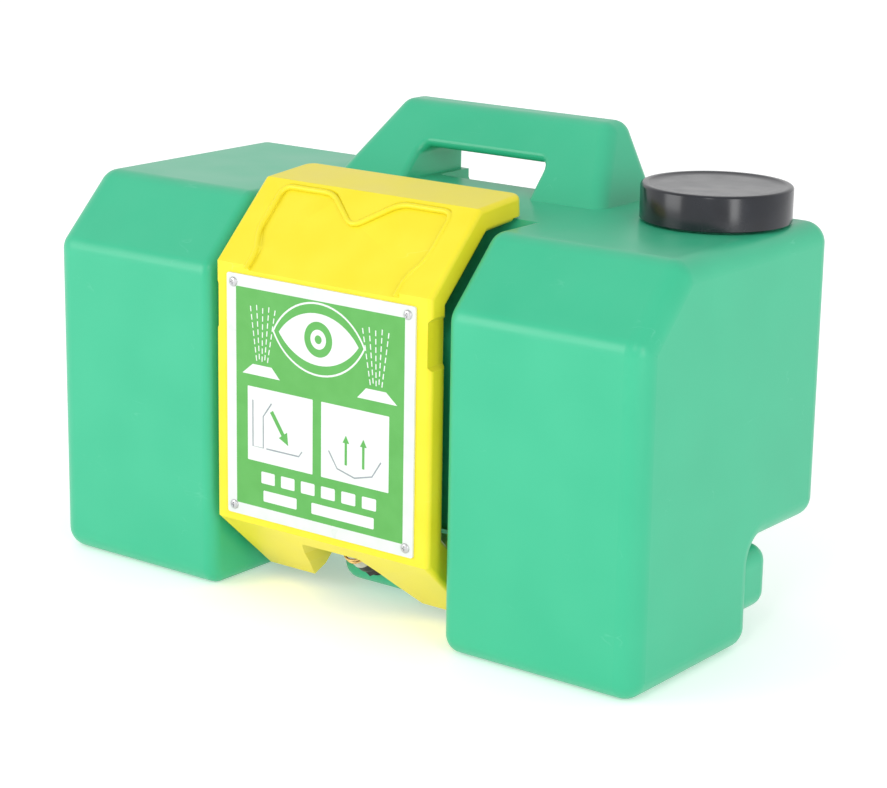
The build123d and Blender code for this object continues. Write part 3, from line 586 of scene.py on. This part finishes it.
for side in ("left", "right"):
    low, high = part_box(f"nozzle_cap_{side}")
    centre = (low + high) / 2
    disc_radius = (high.x - low.x) / 2
    face = high.y - centre.y
    disc_profile = [
        (0, face - 0.0060), (0.0009, face - 0.0060), (0.0009, face - 0.0009), (0.0016, face - 0.0003),
        (0.0030, face), (0.0080, face - 0.0001), (0.0125, face - 0.0004), (0.0138, face - 0.0006),
        (0.0146, face - 0.0004), (0.0156, face - 0.0002), (disc_radius - 0.0005, face - 0.0006),
        (disc_radius, face - 0.0012), (disc_radius, face - 0.0026), (0.011, face - 0.0026),
        (0.011, face - 0.0081), (0, face - 0.0081),
    ]
    disc = lathe(f"nozzle_disc_{side}", disc_profile[::-1], centre, (0, 1, 0), NOZZLE_SIDES)
    disc.data.materials.append(disc_rubber)
    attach(disc, "tray")
    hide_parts(f"nozzle_cap_{side}")
    # The slit is a thin dark wire laid on the disc's face, painted shade in place of a cut.
    lip_line = [(-0.0024, 0.0004), (-0.0010, 0.0008), (0.0002, 0.0002), (0.0008, -0.0008), (0.0021, 0.0006)]
    slit_path = [Vector((centre.x + x, high.y - 0.0002, centre.z + z)) for x, z in lip_line]
    slit = tube(f"nozzle_slit_shade_{side}", slit_path, SLIT_WIRE, sides=8)
    slit.data.materials.append(slit_shade_finish)
    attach(slit, "tray")

# ---- Hose ----
# A soft translucent tube pushed over the elbow's barb below and the manifold's stem above.  It
# passes close to the hinge's axis, where the real tube bends as the tray swings; here it is built in one
# pose.
HOSE_LOW, HOSE_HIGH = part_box("hose")
HOSE_RADIUS = (HOSE_HIGH.x - HOSE_LOW.x) / 2
HOSE_BORE = HOSE_RADIUS * 2 / 3
HOSE_RUN_Y = HOSE_LOW.y + HOSE_RADIUS
ARM = HOSE_RADIUS / sqrt(2)


def smooth_route(route):
    """Points along the smooth line that a list of corners pulls a soft tube to."""
    curve = bpy.data.curves.new("route", "CURVE")
    curve.dimensions = "3D"
    curve.resolution_u = 12
    spline = curve.splines.new("NURBS")
    spline.points.add(len(route) - 1)
    for point, place in zip(spline.points, route):
        point.co = (*place, 1)
    spline.order_u = 3
    spline.use_endpoint_u = True
    holder = bpy.data.objects.new("route", curve)
    line = bpy.data.meshes.new_from_object(holder)
    places = [v.co.copy() for v in line.vertices]
    bpy.data.objects.remove(holder)
    return places


hose_end = Vector((0, HOSE_HIGH.y - ARM, HOSE_LOW.z + ARM))
corner_z = hose_end.z + hose_end.y - HOSE_RUN_Y
hose_route = [
    hose_end, Vector((0, HOSE_RUN_Y + 0.016, corner_z - 0.016)), Vector((0, HOSE_RUN_Y, corner_z + 0.008)),
    Vector((0, HOSE_RUN_Y, corner_z + 0.045)), Vector((0, HOSE_RUN_Y, HOSE_HIGH.z - 0.045)),
    Vector((0, HOSE_RUN_Y, HOSE_HIGH.z)),
]
hose_tube = tube("hose_tube", smooth_route(hose_route), HOSE_RADIUS, HOSE_BORE, sides=32)
hose_vinyl = moulded_plastic(
    "hose_vinyl", (0.90, 0.90, 0.85), (0.94, 0.94, 0.90), (0.97, 0.97, 0.95), (0.9, 0.9, 0.88),
    skin={"Peel_Size": 0.003, "Peel_Depth": 0.000006, "Ripple_Size": 0.02, "Ripple_Depth": 0.00003},
    scuffs=0.1, dusting=0.0, rub=0.0, roughness=(0.20, 0.30), Transmission_Weight=0.42, IOR=1.25,
)
hose_tube.data.materials.append(hose_vinyl)
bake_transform(hose_tube)
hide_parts("hose")

# ---- Hose clamps ----
# Spring clamps of one yellow-plated wire: two turns round the hose joined by a square thumb tab,
# with both ends bent out beside it.
CLAMP_WIRE = 0.0009
CLAMP_TURN = HOSE_RADIUS + CLAMP_WIRE
CLAMP_SPREAD = 0.0016
CLAMP_TAB = 0.005
CLAMP_TAB_HALF = 0.00225
CLAMP_OPENING = 14
LOW_CLAMP_STEP = 0.00778
HIGH_CLAMP_DROP = 0.006
clamp_plating = plain_finish(
    "clamp_plating", (0.62, 0.36, 0.12), (0.78, 0.52, 0.22), (0.22, 0.34), Metallic=1.0
)


def clamp_path():
    """The wire's line with the hose along Z and the tab along +X."""
    upper = []
    for step in range(CLAMP_OPENING, 361 - CLAMP_OPENING, 8):
        angle = radians(step)
        upper.append(Vector((CLAMP_TURN * cos(angle), CLAMP_TURN * sin(angle), CLAMP_SPREAD)))
    stub = upper[0] + Vector((0.0030, 0.0006, 0.0004))
    corner = Vector((CLAMP_TURN + CLAMP_TAB - CLAMP_WIRE, upper[-1].y, CLAMP_TAB_HALF))
    inner = Vector((corner.x - 0.0006, corner.y, corner.z))
    outer = Vector((corner.x, corner.y, corner.z - 0.0006))
    above = [stub, *upper, inner, outer]
    return above + [Vector((p.x, p.y, -p.z)) for p in reversed(above)]


low_clamp = hose_end + Vector((0, -LOW_CLAMP_STEP, LOW_CLAMP_STEP))
high_clamp = Vector((0, HOSE_RUN_Y, HOSE_HIGH.z - HIGH_CLAMP_DROP))
for clamp_name, node, body, place, tab, along in (
    ("clamp_wire_lower", "hose_clamp_lower", "tank", low_clamp, (0, 1, 1), (0, -1, 1)),
    ("clamp_wire_upper", "hose_clamp_upper", "tray", high_clamp, (1, 0, 0), (0, 0, 1)),
):
    x_axis, z_axis = Vector(tab).normalized(), Vector(along).normalized()
    turn = Matrix((x_axis, z_axis.cross(x_axis), z_axis)).transposed()
    clamp = tube(clamp_name, [place + turn @ p for p in clamp_path()], CLAMP_WIRE, sides=10)
    clamp.data.materials.append(clamp_plating)
    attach(clamp, body)
    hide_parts(node)

# ---- Sign plate ----
# A white plastic sheet with a printed green field: an eye between two jets of drops, two white
# panels with plain arrows, and bars where a maker would print words.
SIGN_LOW, SIGN_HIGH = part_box("sign_plate")
SIGN_MIDDLE = (SIGN_LOW + SIGN_HIGH) / 2
SIGN_HALF_WIDTH = (SIGN_HIGH.x - SIGN_LOW.x) / 2
SIGN_HALF_HEIGHT = (SIGN_HIGH.z - SIGN_LOW.z) / 2
SIGN_BORDER = 0.009
INK = 0.00006
SIGN_GREEN = (0.085, 0.37, 0.065)
PRINT_WHITE = (0.70, 0.74, 0.71)
sheet_white = plain_finish("sign_sheet", (0.66, 0.70, 0.67), (0.72, 0.76, 0.73), (0.26, 0.36))
ink_green = plain_finish("sign_green", SIGN_GREEN, (0.10, 0.40, 0.08), (0.28, 0.38))
ink_white = plain_finish("sign_white", PRINT_WHITE, (0.76, 0.79, 0.77), (0.28, 0.38))
ink_grey = plain_finish("sign_grey", (0.25, 0.28, 0.31), (0.30, 0.33, 0.36), (0.28, 0.38))
paint(sheet_white, "sign_plate")


def oval(x, z, half_width, half_height=None, count=48):
    half_height = half_height or half_width
    turns = [tau * k / count for k in range(count)]
    return [(x + half_width * cos(t), z + half_height * sin(t)) for t in turns]


def bar(x, z, half_width, half_height, corner=0.001):
    """Rectangle with rounded corners."""
    outline = []
    for quarter, (sx, sz) in enumerate(((1, 1), (-1, 1), (-1, -1), (1, -1))):
        for k in range(5):
            t = pi / 2 * (quarter + k / 4)
            corner_x, corner_z = x + sx * (half_width - corner), z + sz * (half_height - corner)
            outline.append((corner_x + corner * cos(t), corner_z + corner * sin(t)))
    return outline


def almond(x, z, half_width, half_height, count=24):
    """Two arcs that meet in points at each side."""
    radius = (half_width ** 2 + half_height ** 2) / (2 * half_height)
    reach = atan2(half_width, radius - half_height)
    arc = [reach * (1 - 2 * k / count) for k in range(count)]
    upper = [(x + radius * sin(t), z + radius * cos(t) - radius + half_height) for t in arc]
    return upper + [(2 * x - a, 2 * z - b) for a, b in upper]


def stroke(points, width):
    """Outline of a line of even width through two or more points."""
    left, right = [], []
    for k, (x, z) in enumerate(points):
        ahead = points[min(k + 1, len(points) - 1)]
        behind = points[max(k - 1, 0)]
        along = Vector((ahead[0] - behind[0], ahead[1] - behind[1])).normalized() * width / 2
        left.append((x - along.y, z + along.x))
        right.append((x + along.y, z - along.x))
    return left + right[::-1]


def arrow(start, end, width):
    along = Vector((end[0] - start[0], end[1] - start[1]))
    unit = along.normalized()
    side = Vector((-unit.y, unit.x))
    neck = Vector(start) + along - unit * width * 2.6
    outline = [
        Vector(start) + side * width / 2, neck + side * width / 2, neck + side * width * 1.4, Vector(end),
        neck - side * width * 1.4, neck - side * width / 2, Vector(start) - side * width / 2,
    ]
    return [tuple(p) for p in outline]


def printed(name, loops, layer, material):
    """One printed colour, as a thin layer on the sheet; loops inside others leave holes."""
    curve = bpy.data.curves.new(name, "CURVE")
    curve.dimensions = "2D"
    curve.fill_mode = "BOTH"
    curve.extrude = INK / 2
    for loop in loops:
        spline = curve.splines.new("POLY")
        spline.points.add(len(loop) - 1)
        spline.use_cyclic_u = True
        for point, (x, z) in zip(spline.points, loop):
            point.co = (x, z, 0, 1)
    holder = bpy.data.objects.new(name + "_outline", curve)
    mesh = bpy.data.meshes.new_from_object(holder)
    bpy.data.objects.remove(holder)
    place = Vector((SIGN_MIDDLE.x, SIGN_LOW.y - INK * (layer - 0.5), SIGN_MIDDLE.z))
    mesh.transform(Matrix.Translation(place) @ Matrix.Rotation(pi / 2, 4, "X"))
    mesh.name = name
    mesh.materials.append(material)
    made = add_object(name, mesh)
    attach(made, "tray")


def jet(x, z, lean):
    """Broken lines of drops that spread as they rise."""
    drops = []
    for fan in range(-2, 3):
        for k in range(7):
            height = 0.006 * k + 0.0015 * (fan % 2)
            spread = fan * (0.0026 + 0.0005 * k)
            foot = (x + spread + lean * height, z + height)
            tip = (foot[0] + lean * 0.004 + fan * 0.0003, foot[1] + 0.004)
            drops.append(stroke([foot, tip], 0.0009))
    return drops


EYE_Z = 0.054
field = bar(0, 0, SIGN_HALF_WIDTH - SIGN_BORDER, SIGN_HALF_HEIGHT - SIGN_BORDER)
printed("sign_field", [field], 1, ink_green)
eye_white = [almond(0, EYE_Z, 0.037, 0.019), oval(0, EYE_Z, 0.0130)]
lid_line = [almond(0, EYE_Z, 0.043, 0.027), almond(0, EYE_Z, 0.0415, 0.0256)]
CUP_OUTLINE = [(0.072, 0.018), (0.036, 0.018), (0.044, 0.026), (0.062, 0.026)]
cups = [[(side * x, z) for x, z in CUP_OUTLINE][::side] for side in (-1, 1)]
printed("sign_eye", [*eye_white, *lid_line, oval(0, EYE_Z, 0.0072)], 2, ink_white)
printed("sign_jets", [*cups, *jet(-0.053, 0.029, 0.02), *jet(0.053, 0.029, -0.02)], 2, ink_white)
printed("sign_pupil", [oval(0, EYE_Z, 0.0032)], 3, ink_green)
panels = [bar(x, -0.019, 0.031, 0.028, 0.0006) for x in (-0.036, 0.034)]
printed("sign_panels", panels, 2, ink_white)
word_bars = [bar(x, -0.0585, 0.0065, 0.0045) for x in (-0.0475, -0.0285, -0.0095, 0.0095, 0.0285, 0.0475)]
word_bars += [bar(-0.036, -0.0725, 0.016, 0.0042), bar(0.023, -0.0725, 0.029, 0.0042)]
printed("sign_bars", word_bars, 2, ink_white)
tank_line = [
    (-0.062, -0.001), (-0.062, -0.036), (-0.052, -0.036), (-0.052, -0.012), (-0.044, -0.001),
]
tray_line = [(-0.049, -0.036), (-0.018, -0.036), (-0.015, -0.032)]
basin_line = [(0.010, -0.026), (0.018, -0.038), (0.034, -0.042), (0.050, -0.038), (0.058, -0.026)]
line_art = [stroke(points, 0.0011) for points in (tank_line, tray_line, basin_line)]
printed("sign_line_art", line_art, 3, ink_grey)
rising = [arrow((x, -0.034), (x, -0.012), 0.0022) for x in (0.026, 0.042)]
printed("sign_arrows", [arrow((-0.044, -0.007), (-0.028, -0.030), 0.0034), *rising], 3, ink_green)

# ---- Sign screws ----
# Four small stainless pan-head screws with a cross recess, through the sheet into the tray.
SCREW_SIDES = 40
SCREW_HEAD = 0.0036
SCREW_HEAD_RISE = 0.0015
SCREW_SHANK = 0.0015
SCREW_LENGTH = 0.007
RECESS_HALF = 0.0019
RECESS_WIDTH = 0.0007
RECESS_DEPTH = 0.0009
SCREWS_LOW, SCREWS_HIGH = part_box("sign_screws")
HEAD_PROFILE = [
    (0, -SCREW_LENGTH), (SCREW_SHANK, -SCREW_LENGTH), (SCREW_SHANK, 0), (SCREW_HEAD, 0),
    (SCREW_HEAD, 0.0004), (SCREW_HEAD * 0.95, 0.0008), (SCREW_HEAD * 0.8, 0.0012),
    (SCREW_HEAD * 0.55, 0.00142), (0, SCREW_HEAD_RISE),
]


def cut_away(piece, tool):
    """Cuts one closed mesh out of another."""
    cutter = piece.modifiers.new("recess", "BOOLEAN")
    cutter.operation = "DIFFERENCE"
    cutter.solver = "EXACT"
    cutter.object = tool
    bpy.context.view_layer.update()
    evaluated = piece.evaluated_get(bpy.context.evaluated_depsgraph_get())
    cut = bpy.data.meshes.new_from_object(evaluated)
    piece.modifiers.clear()
    piece.data = cut
    piece.data.set_sharp_from_angle(angle=radians(35))
    bpy.data.objects.remove(tool)


def block(centre, half):
    """Corners and faces of a plain block, used only to cut with."""
    points = [
        Vector(centre) + Vector((x * half[0], y * half[1], z * half[2]))
        for x in (-1, 1) for y in (-1, 1) for z in (-1, 1)
    ]
    return points, [(0, 1, 3, 2), (4, 6, 7, 5), (0, 4, 5, 1), (2, 3, 7, 6), (0, 2, 6, 4), (1, 5, 7, 3)]


screw_z = [SCREWS_LOW.z + SCREW_HEAD, SCREWS_HIGH.z - SCREW_HEAD]
screw_x = [SCREWS_LOW.x + SCREW_HEAD, SCREWS_HIGH.x - SCREW_HEAD]
screw_steel = plain_finish("screw_steel", (0.50, 0.50, 0.51), (0.62, 0.62, 0.63), (0.26, 0.4), Metallic=1.0)
for row, z in enumerate(screw_z):
    for column, x in enumerate(screw_x):
        name = f"sign_screw_{row + 1}_{column + 1}"
        centre = (x, SIGN_LOW.y, z)
        screw = lathe(name, HEAD_PROFILE, centre, (0, -1, 0), SCREW_SIDES)
        arm = (RECESS_HALF, RECESS_DEPTH, RECESS_WIDTH / 2)
        for half in (arm, arm[::-1]):
            points, faces = block((x, SIGN_LOW.y - SCREW_HEAD_RISE, z), half)
            cut_away(screw, add_object("recess_tool", mesh_from("recess_tool", points, faces)))
        screw.data.materials.clear()
        screw.data.materials.append(screw_steel)
        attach(screw, "tray")
        if row == column == 0:
            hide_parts("sign_screws")
